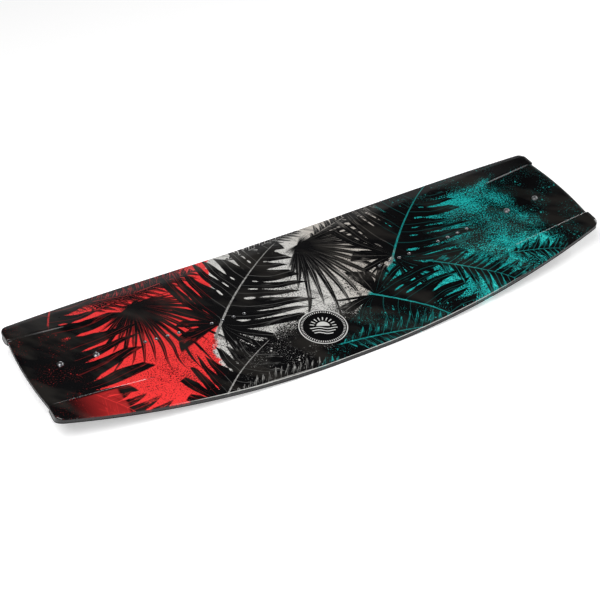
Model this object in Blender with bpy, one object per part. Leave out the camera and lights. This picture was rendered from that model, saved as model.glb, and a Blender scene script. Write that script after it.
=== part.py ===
"""A twin-tip wakeboard: a moulded sandwich board with binding inserts and two bolted centre fins.

+X runs along the board from tail to nose, +Y across it and +Z up from the base.
The origin is on the flat middle of the base, halfway along and across the board. All sizes are in metres.
"""

import math

import bmesh
import bpy
from mathutils import Matrix, Vector

# Outline, seen from above
HALF_LENGTH = 0.656
HALF_WIDTH = 0.207
NARROWING = 0.294          # share of the half width that is lost between the middle and a tip
NARROWING_POWER = 2.34
TIP_BOW = 0.020             # how far the tip edge falls back at TIP_BOW_SPAN from the centreline
TIP_BOW_SPAN = 0.145
LOBE_REACH = 0.650          # where the rails end, a little past the tip edge between them
CORNER_RADIUS = 0.020

# Side view
ROCKER = 0.0587              # height of the base at the tips
ROCKER_POWER = 1.70
FLAT_HALF = 0.060           # the base is flat for this distance either side of the middle
MID_THICKNESS = 0.0215
TIP_THICKNESS = 0.0115
EDGE_THICKNESS = 0.0117
CROWN_POWER = 3.0

# Raised rails on the deck and side fins under them, both near the tips
RAIL_START = 0.38
RAIL_FULL = 0.56
RAIL_RISE = 0.004
CREASE_Y = 0.1025            # inner foot of a rail, and of the side fin under it
RIDGE_Y = 0.1065             # top of the rail's inner wall
SHOULDER = 0.016            # width of the bevel along the outer edge
SHOULDER_RISE = 0.003
FLANK_Y = 0.119             # where a side fin reaches its full depth
SIDE_FIN_START = 0.46
SIDE_FIN_FULL = 0.58
SIDE_FIN_DEPTH = 0.009

# Layers, from the deck down
GAP = 0.0003                # between touching pieces
TOP_SHEET = 0.0008
LAMINATE = 0.0008
BASE_SHEET = 0.0012
END_WALL = 0.012            # width of the wall across each tip

# Where the grid of the layers has its lines: along the board as shares of the length, and across it
STATIONS = (0.0, FLAT_HALF / HALF_LENGTH, 0.25, 0.40, 0.54, 0.66, 0.77, 0.87, 0.945)
INNER_LINES = (0.0, 0.050, CREASE_Y, RIDGE_Y, FLANK_Y)

# Stringers
STRINGER_Y = 0.065
STRINGER_WIDTH = 0.006
STRINGER_HALF = 0.430

# Binding inserts: M6, 25.4 mm apart, in two groups of four for each foot, 152.4 mm from group to group
INSERT_PITCH = 0.0254
OUTER_INSERT_X = 0.3963
INSERT_STEPS = (0, 1, 2, 3, 6, 7, 8, 9)
INSERT_RADIUS = 0.004
INSERT_BORE = 0.0025
INSERT_FLANGE = 0.007
INSERT_RECESS = 0.0002
INSERT_LENGTH = 0.013
PLATE_HALF_WIDTH = 0.025
PLATE_MARGIN = 0.016
PLATE_THICKNESS = 0.003
FLANGE_THICKNESS = 0.002

# Centre fins and their hardware
FIN_SCREW_X = (0.505, 0.582)
FIN_START = 0.472
FIN_END = 0.616
FIN_DEPTH = 0.028
FIN_DEEPEST = 0.62          # where a fin is deepest, as a share of its length from the middle of the board
FIN_FLANGE_HALF = 0.009
FIN_FLANGE = 0.0025
FIN_ROOT_HALF = 0.0065
FIN_EDGE_HALF = 0.0018
SCREW_RADIUS = 0.0026
SCREW_HEAD_RADIUS = 0.0056
SCREW_HEAD = 0.0024
SCREW_GRIP = 0.008
WASHER_RADIUS = 0.0068
WASHER = 0.0012
SLEEVE_BORE = 0.0031
FERRULE_RADIUS = 0.0042
FIN_INSERT_RADIUS = 0.0040
FIN_INSERT_BORE = 0.0030
FIN_INSERT_LENGTH = 0.009
SEGMENTS = 12
RECESS_REACH = 0.0026       # half length of a screw's cross recess
RECESS_HALF = 0.0006
CUT_MARGIN = 0.003          # how far a cutter stands out of what it cuts

BLACK = (0.012, 0.012, 0.013)
COLOURS = {
    "printed_top": (BLACK, 0.08, 0.0),
    "glass_fibre": ((0.55, 0.60, 0.52), 0.45, 0.0),
    "foam": ((0.85, 0.80, 0.62), 0.85, 0.0),
    "stringer": ((0.62, 0.45, 0.27), 0.7, 0.0),
    "edge_plastic": ((0.02, 0.02, 0.021), 0.3, 0.0),
    "base_plastic": ((0.03, 0.03, 0.032), 0.2, 0.0),
    "plate_plastic": ((0.10, 0.10, 0.11), 0.55, 0.0),
    "fin_plastic": ((0.015, 0.015, 0.016), 0.3, 0.0),
    "stainless": ((0.72, 0.72, 0.74), 0.25, 1.0),
    "brass": ((0.78, 0.60, 0.28), 0.3, 1.0),
}


# ---- shape of the board ----

def smooth_share(value, start, end):
    """0 before start, 1 after end and an S-shaped rise between them."""
    share = min(1.0, max(0.0, (value - start) / (end - start)))
    return share * share * (3 - 2 * share)


def blend(knots, value):
    """Straight lines through knots, a rising list of (position, value)."""
    if value <= knots[0][0]:
        return knots[0][1]
    for (low, start), (high, end) in zip(knots, knots[1:]):
        if value <= high:
            return start + (end - start) * (value - low) / (high - low)
    return knots[-1][1]


def plain_half_width(x):
    """Half width of the outline before its corners are rounded."""
    return HALF_WIDTH * (1 - NARROWING * (abs(x) / HALF_LENGTH) ** NARROWING_POWER)


CORNER_X = LOBE_REACH - CORNER_RADIUS
CORNER_Y = plain_half_width(CORNER_X) - CORNER_RADIUS
CORNER_END_X = CORNER_X + CORNER_RADIUS * math.sin(math.pi / 4)
CORNER_END_Y = CORNER_Y + CORNER_RADIUS * math.sin(math.pi / 4)


def half_width(x):
    """Half width of the outline up to the middle of a corner's arc."""
    into_corner = max(0.0, min(abs(x), CORNER_END_X) - CORNER_X)
    if into_corner == 0.0:
        return plain_half_width(x)
    return CORNER_Y + math.sqrt(CORNER_RADIUS ** 2 - into_corner ** 2)


def tip_x(y):
    """How far the board reaches at the distance y from its centreline."""
    if abs(y) <= CREASE_Y:
        return HALF_LENGTH - TIP_BOW * (y / TIP_BOW_SPAN) ** 2
    into_corner = max(0.0, abs(y) - CORNER_Y)
    return CORNER_X + math.sqrt(CORNER_RADIUS ** 2 - into_corner ** 2)


def base_line(x):
    """Height of the base on the centreline: flat in the middle, then rising to the tips."""
    past_flat = max(0.0, abs(x) - FLAT_HALF) / (HALF_LENGTH - FLAT_HALF)
    return ROCKER * past_flat ** ROCKER_POWER


def base_height(x, y):
    """Height of the base sheet's underside, with the side fins near the tips."""
    outer = half_width(x)
    shape = blend([(CREASE_Y, 0.0), (FLANK_Y, 1.0), (outer - SHOULDER, 1.0), (outer, 0.0)], abs(y))
    return base_line(x) - SIDE_FIN_DEPTH * shape * smooth_share(abs(x), SIDE_FIN_START, SIDE_FIN_FULL)


def middle_thickness(x):
    return TIP_THICKNESS + (MID_THICKNESS - TIP_THICKNESS) * (1 - (abs(x) / HALF_LENGTH) ** 4)


def deck_height(x, y):
    """Height of the deck: crowned in the middle of the board, dished between two rails near the tips."""
    outer = half_width(x)
    centre = middle_thickness(x)
    crowned = EDGE_THICKNESS + (centre - EDGE_THICKNESS) * (1 - min(1.0, abs(y) / outer) ** CROWN_POWER)
    railed = blend([
        (CREASE_Y, centre),
        (RIDGE_Y, centre + RAIL_RISE),
        (outer - SHOULDER, EDGE_THICKNESS + SHOULDER_RISE),
        (outer, EDGE_THICKNESS),
    ], abs(y))
    share = smooth_share(abs(x), RAIL_START, RAIL_FULL)
    return base_line(x) + crowned + (railed - crowned) * share


def grid_point(row, column):
    """Where line `row` along the board crosses line `column` across it. Both count out from the middle."""
    across, along = abs(column), abs(row)
    if across < len(INNER_LINES):
        tip_y = INNER_LINES[across]
    else:
        tip_y = CORNER_END_Y - (SHOULDER if across == len(INNER_LINES) else 0.0)
    reach = tip_x(tip_y) if across <= len(INNER_LINES) else CORNER_END_X
    if along < len(STATIONS):
        x = STATIONS[along] * reach
    else:
        x = reach - (END_WALL if along == len(STATIONS) else 0.0)
    if across < len(INNER_LINES):
        y = INNER_LINES[across]
    else:
        y = half_width(x) - (SHOULDER if across == len(INNER_LINES) else 0.0)
    return math.copysign(x, row), math.copysign(y, column)


LAST_ROW = len(STATIONS) + 1
LAST_COLUMN = len(INNER_LINES) + 1


def deck_at(x):
    """Height and slope, along the board, of the flat facet of the deck at x on the centreline."""
    stations = [grid_point(row, 0)[0] for row in range(LAST_ROW + 1)]
    for start, end in zip(stations, stations[1:]):
        if abs(x) <= end:
            low, high = deck_height(start, 0.0), deck_height(end, 0.0)
            slope = (high - low) / (end - start)
            return low + slope * (abs(x) - start), math.copysign(slope, x)
    raise ValueError("x is past the tip")


# ---- mesh helpers ----

def material(name):
    """One Principled material of the table of colours, made once."""
    if name in bpy.data.materials:
        return bpy.data.materials[name]
    colour, roughness, metallic = COLOURS[name]
    made = bpy.data.materials.new(name)
    made.use_nodes = True
    shader = made.node_tree.nodes["Principled BSDF"]
    shader.inputs["Base Color"].default_value = (*colour, 1.0)
    shader.inputs["Roughness"].default_value = roughness
    shader.inputs["Metallic"].default_value = metallic
    return made


def mesh_from(name, vertices, faces, smooth=False):
    """A mesh whose faces all point out."""
    mesh = bpy.data.meshes.new(name)
    mesh.from_pydata(vertices, [], faces)
    work = bmesh.new()
    work.from_mesh(mesh)
    bmesh.ops.recalc_face_normals(work, faces=work.faces)
    work.to_mesh(mesh)
    work.free()
    if smooth:
        mesh.shade_smooth()
        mesh.set_sharp_from_angle(angle=math.radians(35))
    return mesh


def place(name, mesh, finish, parent=None, location=(0, 0, 0), tilt=0.0):
    """An object of that mesh and material. tilt turns its +Z towards +X."""
    made = bpy.data.objects.new(name, mesh)
    bpy.context.scene.collection.objects.link(made)
    if not mesh.materials:
        mesh.materials.append(material(finish))
    made.location = location
    made.rotation_euler = (0.0, tilt, 0.0)
    made.parent = parent
    return made


def slab_mesh(name, top, bottom, rows, columns, point=grid_point):
    """A closed sheet between two height functions over part of the grid."""
    across = len(columns)
    places = [point(row, column) for row in rows for column in columns]
    vertices = [(x, y, top(x, y)) for x, y in places] + [(x, y, bottom(x, y)) for x, y in places]
    below = len(places)
    faces = []
    for i in range(len(rows) - 1):
        for j in range(across - 1):
            corners = (i * across + j, (i + 1) * across + j, (i + 1) * across + j + 1, i * across + j + 1)
            a, b, c, d = corners
            mirrored = (rows[i] + rows[i + 1]) * (columns[j] + columns[j + 1]) < 0
            halves = ((a, b, d), (b, c, d)) if mirrored else ((a, b, c), (a, c, d))
            for half in halves:
                faces.append(half)
                faces.append(tuple(below + v for v in reversed(half)))
    first, last = 0, (len(rows) - 1) * across
    rim = [first + j for j in range(across)]
    rim += [i * across + across - 1 for i in range(1, len(rows))]
    rim += [last + j for j in range(across - 2, -1, -1)]
    rim += [i * across for i in range(len(rows) - 2, 0, -1)]
    for start, end in zip(rim, rim[1:] + rim[:1]):
        faces.append((start, end, below + end, below + start))
    return mesh_from(name, vertices, faces)


def turned_mesh(name, profile, segments=SEGMENTS):
    """A solid of revolution about Z. A profile that starts and ends off the axis closes on itself."""
    vertices, rings = [], []
    for radius, height in profile:
        if radius == 0.0:
            rings.append([len(vertices)])
            vertices.append((0.0, 0.0, height))
            continue
        rings.append(list(range(len(vertices), len(vertices) + segments)))
        for step in range(segments):
            angle = 2 * math.pi * step / segments
            vertices.append((radius * math.cos(angle), radius * math.sin(angle), height))
    pairs = list(zip(rings, rings[1:]))
    if profile[0][0] > 0.0:
        pairs.append((rings[-1], rings[0]))
    faces = []
    for one, two in pairs:
        for step in range(segments):
            following = (step + 1) % segments
            if len(one) == 1:
                faces.append((one[0], two[step], two[following]))
            elif len(two) == 1:
                faces.append((one[step], two[0], one[following]))
            else:
                faces.append((one[step], two[step], two[following], one[following]))
    return mesh_from(name, vertices, faces, smooth=True)


def rod_mesh(name, radius, top, bottom):
    return turned_mesh(name, [(0.0, top), (radius, top), (radius, bottom), (0.0, bottom)])


def tube_mesh(name, inner, outer, top, bottom):
    return turned_mesh(name, [(inner, top), (inner, bottom), (outer, bottom), (outer, top)])


def loft_mesh(name, sections):
    """A closed skin through rings of the same number of points, with flat ends."""
    count = len(sections[0])
    vertices = [point for section in sections for point in section]
    faces = [tuple(range(count)), tuple(range(len(vertices) - count, len(vertices)))]
    for ring in range(len(sections) - 1):
        for step in range(count):
            following = (step + 1) % count
            low, high = ring * count, (ring + 1) * count
            faces.append((low + step, low + following, high + following, high + step))
    return mesh_from(name, vertices, faces)


def joined_mesh(name, pieces):
    """One mesh from (mesh, matrix) pairs, for a cutter that makes several separate cuts."""
    work = bmesh.new()
    for mesh, matrix in pieces:
        start = len(work.verts)
        work.from_mesh(mesh)
        bmesh.ops.transform(work, matrix=matrix, verts=work.verts[start:])
    made = bpy.data.meshes.new(name)
    work.to_mesh(made)
    work.free()
    return made


def cutter(name, mesh):
    """A guide object that Boolean modifiers read and that isn't part of the board."""
    made = bpy.data.objects.new(name, mesh)
    bpy.context.scene.collection.objects.link(made)
    made.hide_render = True
    made.display_type = "WIRE"
    return made


def cut(target, *tools):
    for tool in tools:
        boolean = target.modifiers.new(tool.name, "BOOLEAN")
        boolean.operation = "DIFFERENCE"
        boolean.solver = "EXACT"
        boolean.object = tool


# ---- the board's layers ----

def below_deck(depth):
    return lambda x, y: deck_height(x, y) - depth


def above_base(height):
    """Height above the base, without the side fins, which are solid."""
    return lambda x, y: base_line(x) + height


CORE_TOP = TOP_SHEET + LAMINATE + 2 * GAP
CORE_BOTTOM = BASE_SHEET + LAMINATE + 2 * GAP
ALL_ROWS = list(range(-LAST_ROW, LAST_ROW + 1))
ALL_COLUMNS = list(range(-LAST_COLUMN, LAST_COLUMN + 1))


def inset_point(row, column):
    """A grid point of the core, held back by the gap where it meets the walls."""
    x, y = grid_point(row, column)
    if abs(row) == LAST_ROW - 1:
        x -= math.copysign(GAP, x)
    if abs(column) == LAST_COLUMN - 1:
        y -= math.copysign(GAP, y)
    return x, y


def tip_wall_point(row, column):
    """A grid point of a tip wall, held back by the gap where it meets the side walls."""
    x, y = grid_point(row, column)
    if abs(column) == LAST_COLUMN - 1:
        y -= math.copysign(GAP, y)
    return x, y


def make_layers(board):
    """The full-size sheets, as {name: object}."""
    layers = [
        ("top_sheet", "printed_top", below_deck(0.0), below_deck(TOP_SHEET)),
        ("upper_laminate", "glass_fibre", below_deck(TOP_SHEET + GAP), below_deck(CORE_TOP - GAP)),
        ("lower_laminate", "glass_fibre", above_base(CORE_BOTTOM - GAP), above_base(BASE_SHEET + GAP)),
        ("base_sheet", "base_plastic", above_base(BASE_SHEET), base_height),
    ]
    made = {}
    for name, finish, top, bottom in layers:
        made[name] = place(name, slab_mesh(name, top, bottom, ALL_ROWS, ALL_COLUMNS), finish, board)
    return made


def make_walls(board):
    """The side walls and the tip walls between the laminates, all round the core."""
    top, bottom = below_deck(CORE_TOP), above_base(CORE_BOTTOM)
    for side, sign in (("left", 1), ("right", -1)):
        columns = sorted(sign * column for column in (LAST_COLUMN - 1, LAST_COLUMN))
        name = "sidewall_" + side
        place(name, slab_mesh(name, top, bottom, ALL_ROWS, columns), "edge_plastic", board)
    for end, sign in (("nose", 1), ("tail", -1)):
        rows = sorted(sign * row for row in (LAST_ROW - 1, LAST_ROW))
        name = "tip_wall_" + end
        mesh = slab_mesh(name, top, bottom, rows, ALL_COLUMNS[1:-1], tip_wall_point)
        place(name, mesh, "edge_plastic", board)


def make_core(board):
    top, bottom = below_deck(CORE_TOP), above_base(CORE_BOTTOM)
    mesh = slab_mesh("foam_core", top, bottom, ALL_ROWS[1:-1], ALL_COLUMNS[1:-1], inset_point)
    return place("foam_core", mesh, "foam", board)


def bar_mesh(name, stations, low_y, high_y, top, bottom):
    """A straight-sided bar along the board whose top and bottom follow height functions."""
    sections = []
    for x in stations:
        middle = (low_y + high_y) / 2
        over, under = top(x, middle), bottom(x, middle)
        sections.append([(x, low_y, under), (x, high_y, under), (x, high_y, over), (x, low_y, over)])
    return loft_mesh(name, sections)


def stations_between(start, end):
    """The grid's own stations on the centreline inside a stretch, with the stretch's ends."""
    inside = [grid_point(row, 0)[0] for row in ALL_ROWS]
    return [start] + [x for x in inside if start + GAP < x < end - GAP] + [end]


def make_stringers(board):
    """Two bars that stiffen the core. Returns the cutter of their slots."""
    slots = []
    for side, sign in (("left", 1), ("right", -1)):
        low, high = sorted(sign * (STRINGER_Y + edge) for edge in (0.0, STRINGER_WIDTH))
        stations = stations_between(-STRINGER_HALF, STRINGER_HALF)
        mesh = bar_mesh("stringer", stations, low, high, below_deck(CORE_TOP + GAP), above_base(CORE_BOTTOM))
        place("stringer_" + side, mesh, "stringer", board)
        ends = (-STRINGER_HALF - GAP, STRINGER_HALF + GAP)
        slot = bar_mesh("slot", ends, low - GAP, high + GAP, lambda x, y: 2 * ROCKER, lambda x, y: -ROCKER)
        slots.append((slot, Matrix.Identity(4)))
    return cutter("stringer_slots", joined_mesh("stringer_slots", slots))


# ---- binding inserts ----

def insert_positions():
    """(name, x) of every binding insert, counted out from the middle of the board."""
    for end, sign in (("tail", -1), ("nose", 1)):
        for number, step in enumerate(reversed(INSERT_STEPS), 1):
            yield f"binding_insert_{end}_{number}", sign * (OUTER_INSERT_X - step * INSERT_PITCH)


def facing_deck(x):
    """Location and tilt of a piece that sits square on the deck's centreline at x."""
    height, slope = deck_at(x)
    return Vector((x, 0.0, height)), -math.atan(slope)


def placing_matrix(x):
    location, tilt = facing_deck(x)
    return Matrix.Translation(location) @ Matrix.Rotation(tilt, 4, "Y")


def make_insert_plates(board):
    """The plates that hold the inserts, and the cutter of their pockets in the core."""
    pockets, plates = [], []
    inner = OUTER_INSERT_X - max(INSERT_STEPS) * INSERT_PITCH - PLATE_MARGIN
    outer = OUTER_INSERT_X + PLATE_MARGIN
    for end, sign in (("nose", 1), ("tail", -1)):
        low, high = sorted((sign * inner, sign * outer))
        stations = stations_between(low, high)
        name = "insert_plate_" + end
        mesh = bar_mesh(name, stations, -PLATE_HALF_WIDTH, PLATE_HALF_WIDTH,
                        below_deck(CORE_TOP + GAP), below_deck(CORE_TOP + PLATE_THICKNESS))
        plates.append(place(name, mesh, "plate_plastic", board))
        stations = [low - GAP] + stations[1:-1] + [high + GAP]
        pocket = bar_mesh("pocket", stations, -PLATE_HALF_WIDTH - GAP, PLATE_HALF_WIDTH + GAP,
                          below_deck(-GAP), below_deck(CORE_TOP + PLATE_THICKNESS + GAP))
        pockets.append((pocket, Matrix.Identity(4)))
    return plates, cutter("insert_plate_pockets", joined_mesh("insert_plate_pockets", pockets))


def make_inserts(hardware):
    """The threaded inserts, the cutter of their holes in the sheets and that of their sockets in the core."""
    under_plate = CORE_TOP + PLATE_THICKNESS + GAP
    flange_end = under_plate + FLANGE_THICKNESS
    mesh = turned_mesh("binding_insert", [
        (0.0, -INSERT_LENGTH), (INSERT_RADIUS, -INSERT_LENGTH), (INSERT_RADIUS, -flange_end),
        (INSERT_FLANGE, -flange_end), (INSERT_FLANGE, -under_plate), (INSERT_RADIUS, -under_plate),
        (INSERT_RADIUS, -INSERT_RECESS), (INSERT_BORE, -INSERT_RECESS),
        (INSERT_BORE, -INSERT_LENGTH + FLANGE_THICKNESS), (0.0, -INSERT_LENGTH + FLANGE_THICKNESS),
    ])
    clear = INSERT_RADIUS + GAP
    hole = rod_mesh("insert_hole", clear, CUT_MARGIN, -under_plate)
    flange_clear = INSERT_FLANGE + GAP
    socket = turned_mesh("insert_socket", [
        (0.0, CUT_MARGIN), (flange_clear, CUT_MARGIN), (flange_clear, -flange_end - GAP),
        (clear, -flange_end - GAP), (clear, -INSERT_LENGTH - GAP), (0.0, -INSERT_LENGTH - GAP),
    ])
    holes, sockets = [], []
    for name, x in insert_positions():
        location, tilt = facing_deck(x)
        place(name, mesh, "stainless", hardware, location, tilt)
        holes.append((hole, placing_matrix(x)))
        sockets.append((socket, placing_matrix(x)))
    return (cutter("insert_holes", joined_mesh("insert_holes", holes)),
            cutter("insert_sockets", joined_mesh("insert_sockets", sockets)))


# ---- centre fins ----

def fin_depth(share):
    """Depth of a fin at a share of its length: a raked front, a deep middle and a short tail."""
    front = math.sin(min(1.0, share / FIN_DEEPEST) * math.pi / 2)
    back = math.sqrt(1 - max(0.0, (share - FIN_DEEPEST) / (1.02 - FIN_DEEPEST)) ** 2)
    return FIN_FLANGE + (FIN_DEPTH - FIN_FLANGE) * front * back


def fin_mesh(sign):
    """A fin whose flange follows the base and whose blade thins towards its lower edge."""
    steps = 12
    sections = []
    for step in range(steps + 1):
        share = step / steps
        x = FIN_START + (FIN_END - FIN_START) * share
        top = base_line(x) - GAP
        depth = fin_depth(share)
        narrow = math.sqrt(1 - (2 * share - 1) ** 8) * 0.7 + 0.3
        flange, root, edge = FIN_FLANGE_HALF * narrow, FIN_ROOT_HALF * narrow, FIN_EDGE_HALF * narrow
        half = [(flange, 0.0), (flange, FIN_FLANGE), (root, FIN_FLANGE + GAP), (edge, depth + GAP)]
        ring = [(sign * x, y, top - down) for y, down in half]
        ring += [(sign * x, -y, top - down) for y, down in reversed(half)]
        sections.append(ring)
    return loft_mesh("fin", sections)


def make_fins(hardware):
    """The two fins and, for each screw, its washer, ferrule and threaded insert. Returns the bore cutter."""
    bore_radius = FERRULE_RADIUS + GAP
    bores = []
    for end, sign in (("nose", 1), ("tail", -1)):
        fin = place("centre_fin_" + end, fin_mesh(sign), "fin_plastic", hardware)
        pockets = []
        for spot, distance in zip(("inner", "outer"), FIN_SCREW_X):
            x = sign * distance
            location, tilt = facing_deck(x)
            through = (location.z - base_line(x)) * math.cos(tilt)
            tag = f"{end}_{spot}"
            make_fin_fastening(tag, hardware, location, tilt, through)
            bore = rod_mesh("fin_bore", bore_radius, CUT_MARGIN, -through - CUT_MARGIN)
            bores.append((bore, placing_matrix(x)))
            deep = through + FIN_INSERT_LENGTH + 3 * GAP
            pocket = rod_mesh("fin_pocket", FIN_INSERT_RADIUS + GAP, -through + CUT_MARGIN, -deep)
            pockets.append((pocket, placing_matrix(x)))
        cut(fin, cutter("fin_pockets_" + end, joined_mesh("fin_pockets", pockets)))
    return cutter("fin_bores", joined_mesh("fin_bores", bores))


def make_fin_fastening(tag, hardware, location, tilt, through):
    """A cross-recessed screw, its washer on the deck, its ferrule in the board and its insert in the fin."""
    seat = GAP + WASHER + GAP
    tip = through + SCREW_GRIP
    crown = seat + SCREW_HEAD
    screw = turned_mesh("fin_screw", [
        (0.0, -tip), (SCREW_RADIUS, -tip), (SCREW_RADIUS, seat), (SCREW_HEAD_RADIUS, seat),
        (SCREW_HEAD_RADIUS, seat + SCREW_HEAD * 0.35), (SCREW_HEAD_RADIUS * 0.72, seat + SCREW_HEAD * 0.85),
        (0.0, crown),
    ])
    made = place("fin_screw_" + tag, screw, "stainless", hardware, location, tilt)
    recess = cutter("recess_" + tag, cross_mesh(seat + SCREW_HEAD * 0.25, crown + CUT_MARGIN))
    recess.location = location
    recess.rotation_euler = (0.0, tilt, 0.0)
    cut(made, recess)
    washer = turned_mesh("fin_washer", [
        (SLEEVE_BORE, GAP), (WASHER_RADIUS, GAP), (WASHER_RADIUS, GAP + WASHER / 2),
        (WASHER_RADIUS - WASHER / 2, GAP + WASHER), (SLEEVE_BORE, GAP + WASHER),
    ])
    place("fin_washer_" + tag, washer, "stainless", hardware, location, tilt)
    ferrule = tube_mesh("fin_ferrule", SLEEVE_BORE, FERRULE_RADIUS, -GAP, -through + 2 * GAP)
    place("fin_ferrule_" + tag, ferrule, "plate_plastic", hardware, location, tilt)
    insert = tube_mesh("fin_insert", FIN_INSERT_BORE, FIN_INSERT_RADIUS,
                       -through - 2 * GAP, -through - FIN_INSERT_LENGTH)
    place("fin_insert_" + tag, insert, "brass", hardware, location, tilt)


def cross_mesh(bottom, top):
    """A plus-shaped prism, for a cross recess."""
    outline = []
    for turn in range(4):
        across = Matrix.Rotation(-turn * math.pi / 2, 2)
        for corner in ((RECESS_HALF, RECESS_HALF), (RECESS_REACH, RECESS_HALF), (RECESS_REACH, -RECESS_HALF)):
            outline.append(across @ Vector(corner))
    return loft_mesh("cross", [[(point.x, point.y, z) for point in outline] for z in (bottom, top)])


# ---- the whole ----

def clear_scene():
    for thing in list(bpy.data.objects):
        bpy.data.objects.remove(thing, do_unlink=True)


def group(name):
    made = bpy.data.objects.new(name, None)
    bpy.context.scene.collection.objects.link(made)
    return made


def main():
    clear_scene()
    board, hardware = group("board"), group("hardware")
    layers = make_layers(board)
    make_walls(board)
    core = make_core(board)
    slots = make_stringers(board)
    plates, plate_pockets = make_insert_plates(board)
    holes, sockets = make_inserts(hardware)
    bores = make_fins(hardware)
    cut(layers["top_sheet"], holes, bores)
    cut(layers["upper_laminate"], holes, bores)
    cut(layers["lower_laminate"], bores)
    cut(layers["base_sheet"], bores)
    for plate in plates:
        cut(plate, holes)
    cut(core, slots, plate_pockets, sockets, bores)


main()
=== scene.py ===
"""The looks of the wakeboard: skins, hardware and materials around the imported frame.

+X runs from tail to nose, +Y across the board and +Z up. All sizes are in metres.
"""

import math
from functools import partialmethod

import bmesh
import bpy
import numpy as np
from mathutils import Matrix, Vector


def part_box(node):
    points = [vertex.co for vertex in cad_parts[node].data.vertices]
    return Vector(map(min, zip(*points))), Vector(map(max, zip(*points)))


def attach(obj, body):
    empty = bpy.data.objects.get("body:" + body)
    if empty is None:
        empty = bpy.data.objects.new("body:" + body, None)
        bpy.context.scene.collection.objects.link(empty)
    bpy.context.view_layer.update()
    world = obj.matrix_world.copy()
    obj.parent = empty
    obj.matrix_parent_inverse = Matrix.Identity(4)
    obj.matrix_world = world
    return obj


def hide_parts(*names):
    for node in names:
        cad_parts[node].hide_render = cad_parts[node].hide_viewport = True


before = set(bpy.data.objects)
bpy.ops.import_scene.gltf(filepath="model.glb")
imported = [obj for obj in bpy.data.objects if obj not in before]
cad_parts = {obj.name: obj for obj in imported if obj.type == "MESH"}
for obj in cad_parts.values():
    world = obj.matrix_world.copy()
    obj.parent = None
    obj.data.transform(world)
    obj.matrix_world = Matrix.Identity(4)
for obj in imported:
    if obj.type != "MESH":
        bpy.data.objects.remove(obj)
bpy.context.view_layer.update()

# Outline and side view, as in the frame but with the tips as full as its box allows
HALF_LENGTH = 0.656
HALF_WIDTH = 0.207
NARROWING = 0.294
NARROWING_POWER = 2.34
TIP_BOW = 0.0125
TIP_BOW_SPAN = 0.145
LOBE_REACH = 0.6518
CORNER_RADIUS = 0.02
ROCKER = 0.0587
ROCKER_POWER = 1.7
FLAT_HALF = 0.06
MID_THICKNESS = 0.0215
TIP_THICKNESS = 0.0115
EDGE_THICKNESS = 0.0117

# Deck: raised rails near the tips, and a wide bevel outside a crest that runs the whole length
RAIL_START, RAIL_FULL, RAIL_RISE = 0.38, 0.56, 0.004
CREASE_Y, RIDGE_Y = 0.1025, 0.1055
CREASE_ROUND, RIDGE_ROUND = 0.0008, 0.0009
BEVEL_MIDDLE, BEVEL_TIP = 0.038, 0.013
BEVEL_NARROWS = (0.28, 0.62)
BEVEL_RISE, BEVEL_SLOPE = 0.0012, 0.165
CREST_ROUND = 0.004
TIP_BEVEL, TIP_BEVEL_DROP, TIP_BEVEL_ROUND = 0.0085, 0.0022, 0.0012

# Base: side fins moulded into the base sheet
SIDE_FIN_START, SIDE_FIN_FULL, SIDE_FIN_DEPTH = 0.46, 0.58, 0.009
FLANK_Y, SHOULDER, FLANK_ROUND = 0.119, 0.016, 0.003

# Skins and layers
DECK_SKIN, BASE_SKIN = 0.0008, 0.0012
DECK_EDGE_ROUND, BASE_EDGE_ROUND = 0.0021, 0.0014
LIP = 0.003                  # height of the deck skin's lower lip above the base
SEAM = 0.0004                # between the two skins, along the edge
LAYER_INSET = 0.0014         # how far the layers inside stay back from the outline
LAMINATE = 0.0008
GAP = 0.0003
EDGE_STEPS = 4               # rings of the deck skin's side wall
LIP_INSET = 0.0006
SHARP_EDGE = 35              # degrees

# Hardware, as in the frame
INSERT_RADIUS, INSERT_BORE, INSERT_FLANGE = 0.004, 0.0025, 0.007
INSERT_RECESS, INSERT_LENGTH, FLANGE_THICKNESS = 0.0002, 0.013, 0.002
FLANGE_TOP = 0.0055
FLANGE_BOTTOM = FLANGE_TOP + FLANGE_THICKNESS
FERRULE_RADIUS, SLEEVE_BORE = 0.0042, 0.0031
SCREW_RADIUS, SCREW_HEAD_RADIUS, SCREW_HEAD, SCREW_GRIP = 0.0026, 0.0056, 0.0024, 0.008
WASHER_RADIUS, WASHER = 0.0068, 0.0012
RECESS_REACH, RECESS_HALF = 0.0026, 0.0006
M6_PITCH, FIN_PITCH, THREAD_STEPS, THREAD_SLACK = 0.001, 0.0008, 6, 1e-6
FIN_SPAN, FIN_DEPTH, FIN_DEEPEST = (0.472, 0.616), 0.028, 0.62
FIN_FLANGE_HALF, FIN_FLANGE, FIN_ROOT_HALF, FIN_EDGE_HALF = 0.009, 0.0025, 0.0065, 0.0018
FIN_INSERT_RADIUS = 0.004

# Holes: their radius, and the heights from the deck between which they are drilled
INSERT_HOLE, SCREW_HOLE, FIN_HOLE = INSERT_RADIUS + GAP, FERRULE_RADIUS + GAP, FIN_INSERT_RADIUS + GAP
DECK_DRILL, LAMINATE_DRILL, LOWER_DRILL = (0.003, -0.003), (0.003, -0.006), (0.003, -0.04)
BASE_DRILL, FIN_DRILL = (0.01, -0.04), (0.0, -0.032)

SLOPE_STEP = 0.001
SIDES = {"left": 1, "right": -1}
ENDS = {"nose": 1, "tail": -1}


# ---- shape of the board ----

def smooth(value, start, end):
    share = np.clip((value - start) / (end - start), 0.0, 1.0)
    return share * share * (3 - 2 * share)


def ramp(distance, radius):
    """0 before a knot and a straight rise after it, rounded over about the radius."""
    return (distance + np.sqrt(distance ** 2 + radius ** 2)) / 2


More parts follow.
